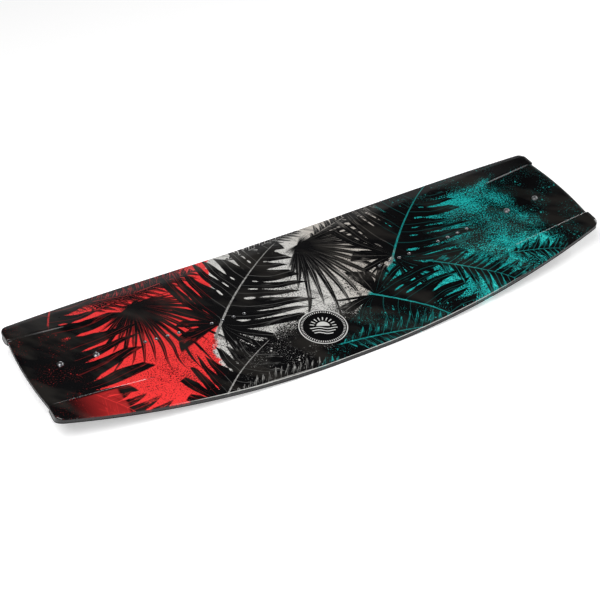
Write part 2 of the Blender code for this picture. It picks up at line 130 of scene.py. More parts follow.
def half_width(x):
    return HALF_WIDTH * (1 - NARROWING * (np.abs(x) / HALF_LENGTH) ** NARROWING_POWER)


def closing(x):
    """How fast the outline closes in at x."""
    return float(half_width(x - SLOPE_STEP) - half_width(x + SLOPE_STEP)) / (2 * SLOPE_STEP)


CORNER_X = LOBE_REACH - CORNER_RADIUS
SIDE_ANGLE = math.atan(closing(CORNER_X))
CORNER_Y = half_width(CORNER_X) - CORNER_RADIUS / math.cos(SIDE_ANGLE)


def tip_x(y):
    """Reach of the board at y, with the step where the rails begin."""
    y = np.abs(y)
    bow = HALF_LENGTH - TIP_BOW * (y / TIP_BOW_SPAN) ** 2
    return bow + (LOBE_REACH - bow) * smooth(y, CREASE_Y - 0.0005, RIDGE_Y + 0.0005)


def base_line(x):
    past_flat = np.maximum(0.0, np.abs(x) - FLAT_HALF) / (HALF_LENGTH - FLAT_HALF)
    return ROCKER * past_flat ** ROCKER_POWER


def middle_thickness(x):
    return TIP_THICKNESS + (MID_THICKNESS - TIP_THICKNESS) * (1 - (np.abs(x) / HALF_LENGTH) ** 4)


def deck_height(x, y):
    """Height of the deck: crowned in the middle, dished between two rails near the tips."""
    y, outer, centre = np.abs(y), half_width(x), middle_thickness(x)
    bevel = BEVEL_MIDDLE + (BEVEL_TIP - BEVEL_MIDDLE) * smooth(np.abs(x), *BEVEL_NARROWS)
    crest_y = outer - bevel
    crest = EDGE_THICKNESS + BEVEL_RISE + BEVEL_SLOPE * bevel
    crown = centre - (centre - crest) * (y / crest_y) ** 2
    at_edge = centre - (centre - crest) * (outer / crest_y) ** 2
    crowned = crown - (at_edge - EDGE_THICKNESS) / bevel * ramp(y - crest_y, CREST_ROUND)
    wall = RAIL_RISE / (RIDGE_Y - CREASE_Y)
    top = (crest - centre - RAIL_RISE) / (crest_y - RIDGE_Y)
    side = (EDGE_THICKNESS - crest) / bevel
    railed = (centre + wall * ramp(y - CREASE_Y, CREASE_ROUND) + (top - wall) * ramp(y - RIDGE_Y, RIDGE_ROUND)
              + (side - top) * ramp(y - crest_y, CREST_ROUND / 2))
    share = smooth(np.abs(x), RAIL_START, RAIL_FULL)
    to_tip = tip_x(y) - np.abs(x)
    tip_drop = TIP_BEVEL_DROP / TIP_BEVEL * ramp(TIP_BEVEL - to_tip, TIP_BEVEL_ROUND)
    return base_line(x) + crowned + (railed - crowned) * share - tip_drop


def base_height(x, y):
    """Height of the base, with the side fins near the tips."""
    y, outer = np.abs(y), half_width(x)
    rise = 1 / (FLANK_Y - CREASE_Y)
    fall = 1 / SHOULDER
    shape = (rise * (ramp(y - CREASE_Y, FLANK_ROUND) - ramp(y - FLANK_Y, FLANK_ROUND))
             - fall * (ramp(y - outer + SHOULDER, FLANK_ROUND) - ramp(y - outer, 0.0)))
    return base_line(x) - SIDE_FIN_DEPTH * shape * smooth(np.abs(x), SIDE_FIN_START, SIDE_FIN_FULL)


# ---- plan of the skins: a grid whose outer lines keep their distance from the outline ----

def rounding(radius, steps=6):
    """Distances from the outline of the lines that round an edge over, from the flat to the edge."""
    return [radius * (1 - math.sin(math.pi / 2 * step / steps)) for step in range(steps)] + [0.0]


def between(low, high, count):
    """Evenly spaced values from low up to, and without, high."""
    return [low + (high - low) * step / count for step in range(count)]


BAND = (0.016, 0.014, 0.012, 0.0102, 0.0092, 0.0084, 0.0074, 0.006, 0.0045, 0.0032)
DENSE_ACROSS = (between(0.0, 0.098, 12) + between(0.098, 0.102, 4) + between(0.102, 0.1065, 15)
                + between(0.1065, 0.11, 3) + [0.11])
PLAIN_BASE_ACROSS = between(0.0, 0.094, 10) + between(0.094, 0.11, 8) + [0.11]
DENSE_BETWEEN = between(0.0, 1.0, 12)[1:]
DENSE_ALONG = between(0.0, 1.0, 92)
PLAIN_ACROSS = between(0.0, 0.098, 5) + [0.098, CREASE_Y, RIDGE_Y, 0.11]
PLAIN_BETWEEN = between(0.0, 1.0, 5)[1:]
PLAIN_ALONG = between(0.0, 1.0, 28)


def edge_point(inset, along):
    """A point `inset` inside the outline, `along` it from the corner: up the side, or below 0 on the tip."""
    radius = CORNER_RADIUS - inset
    angle = math.pi / 4 + along / radius
    if angle < 0.0:
        return CORNER_X + radius, CORNER_Y + radius * angle
    past = angle - (math.pi / 2 - SIDE_ANGLE)
    if past <= 0.0:
        return CORNER_X + radius * math.cos(angle), CORNER_Y + radius * math.sin(angle)
    x = CORNER_X + radius * math.sin(SIDE_ANGLE) - radius * past * math.cos(SIDE_ANGLE)
    return x, float(half_width(x)) - inset / math.cos(SIDE_ANGLE)


class Plan:
    """A grid of points over the board, each with its inset from the outline in the outer band."""

    def __init__(self, across, shares, along, band):
        insets = [("inset", distance) for distance in band]
        self.rows = [("share", share) for share in along] + insets
        self.columns = [("y", y) for y in across] + [("share", share) for share in shares] + insets
        self.band = band
        quarter = np.array([[self.point(row, column) for column in self.columns] for row in self.rows])
        halves = np.concatenate([quarter[:, :0:-1] * (1, -1, 1), quarter], axis=1)
        whole = np.concatenate([halves[:0:-1] * (-1, 1, 1), halves], axis=0)
        self.x, self.y, self.inset = whole[..., 0], whole[..., 1], whole[..., 2]
        self.rim = edge_loop(*self.x.shape)
        spots = np.array([(self.x[spot], self.y[spot]) for spot in self.rim])
        along = np.roll(spots, -1, axis=0) - np.roll(spots, 1, axis=0)
        along /= np.linalg.norm(along, axis=1)[:, None]
        self.rim_spots = spots
        self.rim_inward = np.stack([-along[:, 1], along[:, 0]], axis=1)

    def point(self, row, column):
        last_y, outermost = [value for kind, value in self.columns if kind == "y"][-1], self.band[0]
        kind, value = column
        if row[0] == "inset":
            depth = row[1]
            if kind == "inset":
                least = min(depth, value)
                return (*edge_point(least, depth - value), least)
            limit = edge_point(depth, depth - outermost)[1]
            y = value if kind == "y" else last_y + (limit - last_y) * value
            return float(tip_x(y)) - depth, y, depth
        share = row[1]
        if kind == "inset":
            x = share * edge_point(value, outermost - value)[0]
            return x, float(half_width(x)) - value * math.hypot(1.0, closing(x)), value
        reach = edge_point(outermost, 0.0)
        y_end = value if kind == "y" else last_y + (reach[1] - last_y) * value
        x = share * (float(tip_x(y_end)) - outermost)
        limit = float(half_width(x)) - outermost
        y = value if kind == "y" else last_y + (limit - last_y) * value
        return x, y, outermost


def edge_loop(rows, columns):
    """Index pairs round the rim of a grid."""
    loop = [(i, 0) for i in range(rows - 1)]
    loop += [(rows - 1, j) for j in range(columns - 1)]
    loop += [(i, columns - 1) for i in range(rows - 1, 0, -1)]
    return loop + [(0, j) for j in range(columns - 1, 0, -1)]


# ---- mesh helpers ----

def smoothed(mesh, sharp=SHARP_EDGE):
    mesh.shade_smooth()
    mesh.set_sharp_from_angle(angle=math.radians(sharp))
    return mesh


def mesh_from(name, vertices, faces, sharp=SHARP_EDGE):
    mesh = bpy.data.meshes.new(name)
    mesh.from_pydata([tuple(map(float, v)) for v in vertices], [], faces)
    work = bmesh.new()
    work.from_mesh(mesh)
    bmesh.ops.remove_doubles(work, verts=work.verts, dist=1e-7)
    bmesh.ops.recalc_face_normals(work, faces=work.faces)
    work.to_mesh(mesh)
    work.free()
    return smoothed(mesh, sharp)


def new_object(name, data):
    made = bpy.data.objects.new(name, data)
    bpy.context.scene.collection.objects.link(made)
    return made


def add_piece(name, mesh, materials, slot, replaced, matrix=None):
    """A piece of the board that stands for CAD nodes. Its slot of the record also names its material."""
    piece = new_object(name, mesh)
    if matrix is not None:
        piece.matrix_world = matrix
    if not mesh.materials:
        mesh.materials.append(materials[slot])
    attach(piece, "root")
    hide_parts(*replaced)


def grid_faces(rows, columns):
    starts = [i * columns + j for i in range(rows - 1) for j in range(columns - 1)]
    return [(a, a + columns, a + columns + 1, a + 1) for a in starts]


def ring_faces(one, two):
    """Faces between two closed rings of vertex numbers."""
    return [(a, b, d, c) for a, b, c, d in zip(one, one[1:] + one[:1], two, two[1:] + two[:1])]


def shell_mesh(name, plan, height, edge_round, sign, lips):
    """An open skin: a surface over the whole plan, rounded at its edge, with a side wall down the lips.

    sign is 1 for the deck, whose edge rounds down, and -1 for the base, whose edge rounds up. lips is a list
    of (inset, height function) for the rings of the side wall after the rounded edge.
    """
    rows, columns = plan.x.shape
    into = np.maximum(0.0, edge_round - plan.inset)
    drop = edge_round - np.sqrt(np.maximum(0.0, edge_round ** 2 - into ** 2))
    z = height(plan.x, plan.y) - sign * drop
    vertices = list(zip(plan.x.ravel(), plan.y.ravel(), z.ravel()))
    faces = grid_faces(rows, columns)
    above = [i * columns + j for i, j in plan.rim]
    for inset, level in lips:
        below = list(range(len(vertices), len(vertices) + len(above)))
        spots = plan.rim_spots + plan.rim_inward * inset
        vertices += list(zip(spots[:, 0], spots[:, 1], level(spots[:, 0], spots[:, 1])))
        faces += ring_faces(above, below)
        above = below
    return mesh_from(name, vertices, faces)


def solid_skin(name, mesh, thickness):
    """The closed mesh of a skin that is thickened inwards."""
    carrier = new_object(name + "_carrier", mesh)
    solidify = carrier.modifiers.new("thickness", "SOLIDIFY")
    solidify.thickness = thickness
    solidify.offset = -1.0
    solidify.use_even_offset = True
    return finished_mesh(name, carrier)


def finished_mesh(name, carrier, cutters=()):
    """The carrier's mesh with its modifiers and cuts applied. The carrier and cutters are removed."""
    for cutter in cutters:
        boolean = carrier.modifiers.new(cutter.name, "BOOLEAN")
        boolean.operation = "DIFFERENCE"
        boolean.solver = "EXACT"
        boolean.object = cutter
    bpy.context.view_layer.update()
    evaluated = carrier.evaluated_get(bpy.context.evaluated_depsgraph_get())
    mesh = bpy.data.meshes.new_from_object(evaluated)
    mesh.name = name
    for thing in (carrier, *cutters):
        bpy.data.objects.remove(thing, do_unlink=True)
    return smoothed(mesh)


def layer_mesh(name, plan, top, bottom, rows=slice(None), columns=slice(None)):
    """A closed sheet between two height functions over part of the plan."""
    x, y = plan.x[rows, columns], plan.y[rows, columns]
    across, count = x.shape[1], x.size
    upper = list(zip(x.ravel(), y.ravel(), top(x, y).ravel()))
    lower = list(zip(x.ravel(), y.ravel(), bottom(x, y).ravel()))
    faces = grid_faces(x.shape[0], across)
    faces += [tuple(count + v for v in reversed(face)) for face in faces]
    rim = [i * across + j for i, j in edge_loop(*x.shape)]
    faces += ring_faces(rim, [count + v for v in rim])
    return mesh_from(name, upper + lower, faces)


def turned_mesh(name, profile, segments=48, thread=None):
    """A solid of revolution about Z from (radius, height) points. A profile off the axis closes on itself.

    thread is (low, high, pitch, depth): between those heights the surface winds in and out as a helix.
    """
    vertices, rings = [], []
    for radius, height in profile:
        if radius == 0.0:
            rings.append([len(vertices)] * segments)
            vertices.append((0.0, 0.0, height))
            continue
        rings.append(list(range(len(vertices), len(vertices) + segments)))
        for step in range(segments):
            angle = 2 * math.pi * step / segments
            out = radius
            if thread and thread[0] <= height <= thread[1]:
                phase = (height / thread[2] - step / segments) % 1.0
                out += thread[3] * (1 - abs(2 * phase - 1) * 2)
            vertices.append((out * math.cos(angle), out * math.sin(angle), height))
    pairs = list(zip(rings, rings[1:]))
    if profile[0][0] > 0.0:
        pairs.append((rings[-1], rings[0]))
    faces = []
    for one, two in pairs:
        for step in range(segments):
            following = (step + 1) % segments
            corners = one[step], two[step], two[following], one[following]
            faces.append(tuple(dict.fromkeys(corners)))
    return mesh_from(name, vertices, faces)


def drilled(name, mesh, drills, segments=48):
    """The mesh with round holes. A drill is a radius, its top and bottom, and the nodes it stands over."""
    cutters = []
    for radius, (top, bottom), nodes in drills:
        rod = turned_mesh("rod", [(0.0, top), (radius, top), (radius, bottom), (0.0, bottom)], segments)
        work = bmesh.new()
        for node in nodes:
            start = len(work.verts)
            work.from_mesh(rod)
            work.verts.ensure_lookup_table()
            bmesh.ops.transform(work, matrix=deck_matrix(middle_of(node).x), verts=work.verts[start:])
        joined = bpy.data.meshes.new("drill")
        work.to_mesh(joined)
        work.free()
        cutters.append(new_object("drill", joined))
    return finished_mesh(name, new_object(name + "_carrier", mesh), cutters)


# ---- the board's skins and layers ----

def below_deck(depth):
    return lambda x, y: deck_height(x, y) - depth


def above_base(height):
    return lambda x, y: base_line(x) + height


def deck_slope(x):
    """The angle of the deck's centreline at x."""
    rise = float(deck_height(x + SLOPE_STEP, 0.0) - deck_height(x - SLOPE_STEP, 0.0))
    return math.atan(rise / (2 * SLOPE_STEP))


def deck_matrix(x):
    """Where a piece sits square on the deck's centreline at x."""
    place = Matrix.Translation((x, 0.0, float(deck_height(x, 0.0))))
    return place @ Matrix.Rotation(-deck_slope(x), 4, "Y")


def middle_of(node):
    low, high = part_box(node)
    return (low + high) / 2


INSERT_NODES = sorted(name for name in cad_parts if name.startswith("binding_insert_"))
SCREW_NODES = sorted(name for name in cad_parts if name.startswith("fin_screw_"))


def deck_lip(share):
    """The deck skin's side wall, from its rounded edge at share 0 to its lower lip at 1."""
    def height(x, y):
        return (deck_height(x, y) - DECK_EDGE_ROUND) * (1 - share) + (base_height(x, y) + LIP) * share

    return height


def make_skins(materials):
    """The printed deck skin that wraps over the edge, and the base skin that meets it there."""
    plan = Plan(DENSE_ACROSS, DENSE_BETWEEN, DENSE_ALONG, BAND + tuple(rounding(DECK_EDGE_ROUND)))
    shares = [step / EDGE_STEPS for step in range(1, EDGE_STEPS + 1)]
    lips = [(LIP_INSET * share, deck_lip(share)) for share in shares]
    mesh = shell_mesh("deck_skin", plan, deck_height, DECK_EDGE_ROUND, 1, lips)
    drills = [(INSERT_HOLE, DECK_DRILL, INSERT_NODES), (SCREW_HOLE, DECK_DRILL, SCREW_NODES)]
    deck = drilled("deck_skin", solid_skin("deck_skin", mesh, DECK_SKIN), drills)
    add_piece("deck_skin", deck, materials, "printed_top", ["top_sheet"])

    plan = Plan(PLAIN_BASE_ACROSS, DENSE_BETWEEN, DENSE_ALONG, BAND + tuple(rounding(BASE_EDGE_ROUND)))
    lips = [(LIP_INSET, lambda x, y: base_height(x, y) + LIP - SEAM)]
    mesh = shell_mesh("base_skin", plan, base_height, BASE_EDGE_ROUND, -1, lips)
    drills = [(SCREW_HOLE, BASE_DRILL, SCREW_NODES)]
    base = drilled("base_skin", solid_skin("base_skin", mesh, BASE_SKIN), drills)
    add_piece("base_skin", base, materials, "base_plastic", ["base_sheet"])


def make_layers(materials):
    """The laminates and the walls round the core, which lie inside the skins."""
    band = (0.016, 0.012, 0.008, 0.005, 0.003, LAYER_INSET)
    plan = Plan(PLAIN_ACROSS, PLAIN_BETWEEN, PLAIN_ALONG, band)
    wall = len(band) - 1
    core_top = DECK_SKIN + LAMINATE + 2 * GAP
    core_bottom = BASE_SKIN + LAMINATE + 2 * GAP
    core_height = below_deck(core_top), above_base(core_bottom)
    upper = layer_mesh("laminate_deck", plan, below_deck(DECK_SKIN + GAP), below_deck(core_top - GAP))
    drills = [(INSERT_HOLE, LAMINATE_DRILL, INSERT_NODES), (SCREW_HOLE, LAMINATE_DRILL, SCREW_NODES)]
    upper = drilled("laminate_deck", upper, drills, 24)
    add_piece("laminate_deck", upper, materials, "glass_fibre", ["upper_laminate"])
    lower = layer_mesh("laminate_base", plan, above_base(core_bottom - GAP), above_base(BASE_SKIN + GAP))
    lower = drilled("laminate_base", lower, [(SCREW_HOLE, LOWER_DRILL, SCREW_NODES)], 24)
    add_piece("laminate_base", lower, materials, "glass_fibre", ["lower_laminate"])
    for side, sign in SIDES.items():
        columns = slice(-wall - 1, None) if sign > 0 else slice(0, wall + 1)
        mesh = layer_mesh("side", plan, *core_height, columns=columns)
        add_piece("side_strip_" + side, mesh, materials, "edge_plastic", ["sidewall_" + side])
    for end, sign in ENDS.items():
        rows = slice(-wall, None) if sign > 0 else slice(0, wall)
        columns = slice(wall + 1, -wall - 1)
        mesh = layer_mesh("tip", plan, *core_height, rows, columns)
        add_piece("tip_strip_" + end, mesh, materials, "edge_plastic", ["tip_wall_" + end])


# ---- hardware ----

def threaded(radius, top, length, pitch, depth):
    """Profile points down a thread, and the numbers that turned_mesh winds it by."""
    count = int(length / pitch * THREAD_STEPS)
    points = [(radius, top - step * pitch / THREAD_STEPS) for step in range(count + 1)]
    return points, (points[-1][1] - THREAD_SLACK, top + THREAD_SLACK, pitch, depth)


def insert_mesh():
    """An M6 insert: a thin rim level with the deck, a threaded bore and a flange under its plate."""
    top, mouth = -INSERT_RECESS, -INSERT_RECESS - 0.0007
    bottom = -INSERT_LENGTH + FLANGE_THICKNESS
    thread, wound = threaded(INSERT_BORE, mouth, mouth - bottom - 0.0006, M6_PITCH, 0.0003)
    profile = [
        (0.0, -INSERT_LENGTH), (INSERT_RADIUS - 0.0004, -INSERT_LENGTH),
        (INSERT_RADIUS, -INSERT_LENGTH + 0.0004), (INSERT_RADIUS, -FLANGE_BOTTOM),
        (INSERT_FLANGE - 0.0003, -FLANGE_BOTTOM),
        (INSERT_FLANGE, -FLANGE_BOTTOM + 0.0003), (INSERT_FLANGE, -FLANGE_TOP), (INSERT_RADIUS, -FLANGE_TOP),
        (INSERT_RADIUS, top - 0.0003), (INSERT_RADIUS - 0.0001, top - 0.0001), (INSERT_RADIUS - 0.0003, top),
        (INSERT_BORE + 0.0007, top), (INSERT_BORE + 0.0005, top - 0.0001),
    ] + thread + [(INSERT_BORE - 0.0004, bottom), (0.0, bottom - 0.0006)]
    return turned_mesh("threaded_insert", profile, 36, wound)


def make_inserts(materials):
    mesh = insert_mesh()
    for name in INSERT_NODES:
        piece = "threaded_" + name.removeprefix("binding_")
        add_piece(piece, mesh, materials, "stainless", [name], deck_matrix(middle_of(name).x))


def screw_mesh(through):
    """A domed screw with a cross recess and a threaded end."""
    seat = 2 * GAP + WASHER
    tip = -through - SCREW_GRIP
    start = -through - 0.0006
    thread, wound = threaded(SCREW_RADIUS, start, start - tip - 0.0008, FIN_PITCH, 0.00018)
    dome = []
    for step in range(9):
        share = step / 9
        height = seat + SCREW_HEAD * (0.3 + 0.7 * share)
        dome.append((SCREW_HEAD_RADIUS * (1 - share ** 2.4) ** 0.5, height))
    profile = [(0.0, seat + SCREW_HEAD)] + dome[::-1]
    profile += [(SCREW_HEAD_RADIUS, seat + 0.0003), (SCREW_HEAD_RADIUS - 0.0003, seat), (SCREW_RADIUS, seat)]
    profile += thread + [(SCREW_RADIUS - 0.0006, tip), (0.0, tip)]
    mesh = turned_mesh("fin_screw", profile, 40, wound)
    recess = new_object("recess", cross_mesh(seat + SCREW_HEAD * 0.2, seat + SCREW_HEAD + 0.001))
    return finished_mesh("fin_screw", new_object("fin_screw_carrier", mesh), (recess,))


def cross_mesh(bottom, top):
    """A plus-shaped prism that narrows downwards, for a cross recess."""
    sections = []
    for z, scale in ((bottom, 0.72), (top, 1.12)):
        ring = []
        for turn in range(4):
            across = Matrix.Rotation(-turn * math.pi / 2, 2)
            corners = ((RECESS_HALF, RECESS_HALF), (RECESS_REACH * scale, RECESS_HALF * scale),
                       (RECESS_REACH * scale, -RECESS_HALF * scale))
            ring += [across @ Vector(corner) for corner in corners]
        sections.append([(point.x, point.y, z) for point in ring])
    return loft_mesh("cross", sections)


def loft_mesh(name, sections, sharp=SHARP_EDGE):
    """A closed skin through rings of the same number of points, with flat ends."""
    count = len(sections[0])
    vertices = [point for section in sections for point in section]
    rings = [list(range(start, start + count)) for start in range(0, len(vertices), count)]
    faces = [tuple(rings[0]), tuple(rings[-1])]
    for one, two in zip(rings, rings[1:]):
        faces += ring_faces(one, two)
    return mesh_from(name, vertices, faces, sharp)


def washer_mesh():
    """A cup washer with a rounded rim."""
    low, high = GAP, GAP + WASHER
    rim = [(WASHER_RADIUS - 0.0005 + 0.0005 * math.cos(a), high - 0.0005 + 0.0005 * math.sin(a))
           for a in (math.pi / 2 * step / 5 for step in range(6))]
    profile = [(SLEEVE_BORE, low), (WASHER_RADIUS, low)] + rim
    profile += [(SLEEVE_BORE + 0.0003, high), (SLEEVE_BORE, high - 0.0003)]
    return turned_mesh("cup_washer", profile, 56)


def make_fin_hardware(materials):
    washer = washer_mesh()
    for name in SCREW_NODES:
        x = middle_of(name).x
        matrix = deck_matrix(x)
        through = float(deck_height(x, 0.0) - base_line(x)) * math.cos(deck_slope(x))
        tag = name.removeprefix("fin_screw_")
        add_piece("domed_screw_" + tag, screw_mesh(through), materials, "stainless", [name], matrix)
        add_piece("cup_washer_" + tag, washer, materials, "stainless", ["fin_washer_" + tag], matrix)


def fin_ring(share, sign):
    """One section of a fin, from the flange's top edge down one side and up the other."""
    low, high = FIN_SPAN
    x = low + (high - low) * share
    top = float(base_line(x)) - GAP
    front = math.sin(min(1.0, share / FIN_DEEPEST) * math.pi / 2)
    back = math.sqrt(max(0.0, 1 - max(0.0, (share - FIN_DEEPEST) / (1.0 - FIN_DEEPEST)) ** 2.4))
    blade = (FIN_DEPTH - FIN_FLANGE) * front * back
    narrow = 0.3 + 0.7 * math.sqrt(max(0.0, 1 - (2 * share - 1) ** 8))
    flange, root, edge = FIN_FLANGE_HALF * narrow, FIN_ROOT_HALF * narrow, FIN_EDGE_HALF * narrow
    half = [(flange - 0.0002, 0.0), (flange, 0.0003), (flange, FIN_FLANGE * 0.45),
            (flange - 0.0005, FIN_FLANGE * 0.8), (flange - 0.0012, FIN_FLANGE)]
    for step in range(13):
        q = step / 12
        fillet = 0.35 * (flange - 0.0012 - root) * max(0.0, 1 - q * 6) ** 2
        half.append((edge + (root - edge) * (1 - q) ** 1.25 + fillet, FIN_FLANGE + 0.0002 + blade * q * 0.96))
    for step in range(1, 5):
        angle = math.pi / 2 * step / 5
        half.append((edge * math.cos(angle), FIN_FLANGE + 0.0002 + blade * (0.96 + 0.04 * math.sin(angle))))
    ring = [(sign * x, y, top - down) for y, down in half]
    return ring + [(sign * x, -y, top - down) for y, down in reversed(half)]


def make_fins(materials):
    for end, sign in ENDS.items():
        shares = [0.5 - 0.5 * math.cos(math.pi * step / 44) for step in range(45)]
        mesh = loft_mesh("foil_fin", [fin_ring(share, sign) for share in shares], 50)
        screws = [name for name in SCREW_NODES if name.startswith("fin_screw_" + end)]
        mesh = drilled("foil_fin_" + end, mesh, [(FIN_HOLE, FIN_DRILL, screws)], 24)
        add_piece("foil_fin_" + end, mesh, materials, "fin_plastic", ["centre_fin_" + end])


# ---- shader formulas ----

class Value:
    """A shader socket, or a number in its place. Each operation on it adds nodes."""

    def __init__(self, tree, socket):
        self.tree, self.socket = tree, socket

    def op(self, operation, *others):
        return new_value(self.tree, "Math", dict(enumerate((self, *others))), operation=operation)

    __add__ = __radd__ = partialmethod(op, "ADD")
    __sub__ = partialmethod(op, "SUBTRACT")
    __rsub__ = partialmethod(op, "MULTIPLY_ADD", -1.0)
    __mul__ = __rmul__ = partialmethod(op, "MULTIPLY")
    __truediv__ = partialmethod(op, "DIVIDE")
    __pow__ = partialmethod(op, "POWER")
    __abs__ = partialmethod(op, "ABSOLUTE")
    most = partialmethod(op, "MAXIMUM")
    least = partialmethod(op, "MINIMUM")

    def fade(self, low, high):
        """0 below low, 1 above high, smooth in between."""
        ends = {"Value": self, "From Min": low, "From Max": high}
        return new_value(self.tree, "MapRange", ends, interpolation_type="SMOOTHSTEP")

    def drop(self, low, high):
        """1 below low, 0 above high."""
        return 1.0 - self.fade(low, high)

    def toward(self, other, share):
        """This value at share 0 and the other at share 1."""
        return new_value(self.tree, "Mix", {"Factor": share, "A": self, "B": other})

    def tint(self, one, two):
        """The colour one where this value is 0 and two where it is 1."""
        sides = [(*colour, 1.0) if isinstance(colour, tuple) else colour for colour in (one, two)]
        return new_value(self.tree, "Mix", {0: self, 6: sides[0], 7: sides[1]}, 2, data_type="RGBA")


def feed(slot, value):
    if isinstance(value, Value):
        value = value.socket
    if isinstance(value, bpy.types.NodeSocket):
        slot.id_data.links.new(value, slot)
    else:
        slot.default_value = value


def new_node(tree, kind, inputs, **settings):
    node = tree.nodes.new("ShaderNode" + kind)
    for name, value in settings.items():
        setattr(node, name, value)
    for slot, value in inputs.items():
        feed(node.inputs[slot], value)
    return node


def new_value(tree, kind, inputs, output=0, **settings):
    return Value(tree, new_node(tree, kind, inputs, **settings).outputs[output])


def split(vector):
    node = new_node(vector.tree, "SeparateXYZ", {0: vector})
    return [Value(vector.tree, output) for output in node.outputs]


def vector_of(x, y=0.0, z=0.0):
    return new_value(x.tree, "CombineXYZ", {0: x, 1: y, 2: z})


def noise(vector, scale, detail=3.0, roughness=0.6):
    numbers = {"Vector": vector, "Scale": scale, "Detail": detail, "Roughness": roughness}
    return new_value(vector.tree, "TexNoise", numbers)


def streaks(vector, along, detail=3.0, roughness=0.6, angle=0.0):
    """Noise that is multiplied along each axis, after a turn in degrees about Z."""
    turned = placed(vector, (0.0, 0.0), angle, 1.0) if angle else vector
    stretched = new_value(vector.tree, "VectorMath", {0: turned, 1: along}, operation="MULTIPLY")
    return noise(stretched, 1.0, detail, roughness)


def cells(vector, scale, feature="F1", output="Distance"):
    return new_value(vector.tree, "TexVoronoi", {"Vector": vector, "Scale": scale}, output, feature=feature)


def chance(number, seed):
    """A fixed random share for each whole number."""
    return ((number * 12.9898 + seed * 7.13).op("SINE") * 437.585).op("FRACT")


def placed(vector, place, angle, size):
    """Coordinates that start at a place, run along an angle in degrees and count in sizes."""
    numbers = {"Vector": vector, "Location": (*place, 0.0), "Rotation": (0.0, 0.0, math.radians(angle)),
               "Scale": (size, size, size)}
    return new_value(vector.tree, "Mapping", numbers, vector_type="TEXTURE")


def on_leaf(place):
    """A leaf's own x and y. z, which is 0, is added in: an unused value would take up room."""
    x, y, z = split(place)
    return x + z, y


def leaf_group(name, build):
    """A node group from a leaf's own coordinates to its cover and the light marks on it."""
    tree = bpy.data.node_groups.new(name, "ShaderNodeTree")
    tree.interface.new_socket("Place", in_out="INPUT", socket_type="NodeSocketVector")
    for number in ("Seed", "Count", "Shape"):
        tree.interface.new_socket(number, in_out="INPUT", socket_type="NodeSocketFloat")
    for number in ("Cover", "Light"):
        tree.interface.new_socket(number, in_out="OUTPUT", socket_type="NodeSocketFloat")
    source = tree.nodes.new("NodeGroupInput")
    drain = tree.nodes.new("NodeGroupOutput")
    for slot, value in zip(drain.inputs, build(*(Value(tree, source.outputs[i]) for i in range(4)))):
        feed(slot, value)
    return tree


def fan_palm(place, seed, count, shape):
    """Blades that spread from a hub at 0 and reach 1. count is blades per radian, shape the half spread."""
    x, y = on_leaf(place)
    radius = (x * x + y * y) ** 0.5
    angle = y.op("ARCTAN2", x)
    sway = (angle + radius * radius * 0.1 + noise(place, 2.2, 1.0, 0.5) * radius * 0.25) * count
    number = sway.op("FLOOR")
    across = abs(sway.op("FRACT") - 0.5)
    luck = chance(number, seed)
    reach = 1.0 - luck * 0.38 - abs(angle).fade(shape * 0.55, shape * 1.15) * 0.5
    along = (radius / reach).least(1.2)
    away = across * radius / count
    width = (1.0 - along ** 2.4) * (luck * 0.008 + 0.019)
    blade = (width - away).fade(-0.0015, 0.0035)
    grain = noise(vector_of(sway * 3.0, radius * 1.6, seed), 2.0, 4.0, 0.7)
    core = (grain * 0.3 - 0.05 - radius).fade(-0.03, 0.04)
    ghost = (grain - 0.4 - along * 0.22).fade(0.0, 0.1) * 0.6 * along.drop(0.6, 0.9)
    limit = (abs(angle) + radius * 0.25).drop(shape * 0.99, shape * 1.05)
    cover = blade.most(ghost) * limit
    rib = away.drop(0.0, 0.003) * luck.fade(0.3, 0.6)
    light = grain.fade(0.52, 0.72) * radius.fade(0.06, 0.4) * 0.75 + rib * radius.fade(0.15, 0.4) * 0.45
    return cover.most(core * abs(angle).drop(shape * 1.3, shape * 1.6)), light


